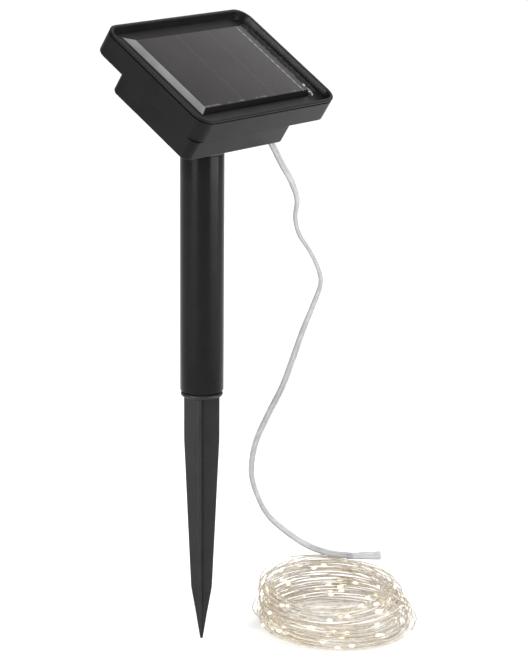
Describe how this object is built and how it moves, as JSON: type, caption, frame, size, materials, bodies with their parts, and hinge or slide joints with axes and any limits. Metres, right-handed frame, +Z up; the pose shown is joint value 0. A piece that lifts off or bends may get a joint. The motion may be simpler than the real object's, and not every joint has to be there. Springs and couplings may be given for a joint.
{
  "type": "solar string lights",
  "caption": "Solar string lights: a tilting solar head with a battery box on a ground stake, a clear lead and a coiled wire string of small warm lamps.",
  "frame": {"origin": "tip of the ground spike, on the pole's axis", "axes": "+Z up the pole, +X along the tilt hinge, -Y the side that the panel leans to"},
  "size_m": [0.1367, 0.1227, 0.3164],
  "materials": {
    "case_plastic": "satin",
    "pole_plastic": "satin",
    "stake_plastic": "matte",
    "clear_lead": "gloss",
    "clear_sleeve": "gloss",
    "string_wire": "gloss",
    "lamp_resin": "gloss",
    "panel_glass": "gloss",
    "solar_cell": "satin",
    "panel_base": "satin",
    "sealant": "gloss",
    "wire_insulation": "satin",
    "circuit_board": "satin",
    "screw_steel": "satin",
    "chip_plastic": "matte",
    "copper_winding": "satin",
    "capacitor_sleeve": "gloss",
    "plunger_plastic": "matte",
    "button_plastic": "satin",
    "gland_rubber": "matte",
    "battery_wrap": "gloss",
    "nickel": "polished",
    "seal_rubber": "matte"
  },
  "bodies": {
    "stake": {"ground_spike": "stake_plastic", "pole_tube": "pole_plastic", "tilt_knuckle": "stake_plastic", "lead_cable": "clear_lead", "lead_splice": "clear_sleeve", "light_string": "string_wire", "led_drops": "lamp_resin"},
    "head": {"bezel_frame": "case_plastic", "tray_shell": "case_plastic", "battery_box": "case_plastic", "panel_glass": "panel_glass", "solar_cells": "solar_cell", "panel_base": "panel_base", "panel_sealant": "sealant", "panel_wires": "wire_insulation", "circuit_board": "circuit_board", "board_screws": "screw_steel", "control_chip": "chip_plastic", "boost_coil": "copper_winding", "capacitor": "capacitor_sleeve", "switch_body": "chip_plastic", "lead_tail": "copper_winding", "lead_gland": "gland_rubber", "battery_cradle": "case_plastic", "battery_cell": "battery_wrap", "battery_contact": "nickel", "battery_spring": "nickel", "cover_seal": "seal_rubber", "battery_cover": "case_plastic", "cover_screws": "screw_steel", "case_screws": "screw_steel", "box_screws": "screw_steel", "tilt_bracket": "stake_plastic", "bracket_screws": "screw_steel", "pivot_bolt": "screw_steel", "pivot_washers": "screw_steel", "pivot_nut": "screw_steel"},
    "button": {"switch_plunger": "plunger_plastic", "mode_button": "button_plastic"}
  },
  "joints": [
    {"name": "head_tilt", "type": "hinge", "parent": "stake", "child": "head", "pos_m": [0, 0, 0.261], "axis": [1, 0, 0], "range_deg": [-66, 0]},
    {"name": "button_press", "type": "slide", "parent": "head", "child": "button", "axis": [0, -0.5446, 0.8387], "range_m": [0, 0.0008], "stiffness_N_per_m": 600, "springref_m": -0.0005}
  ]
}
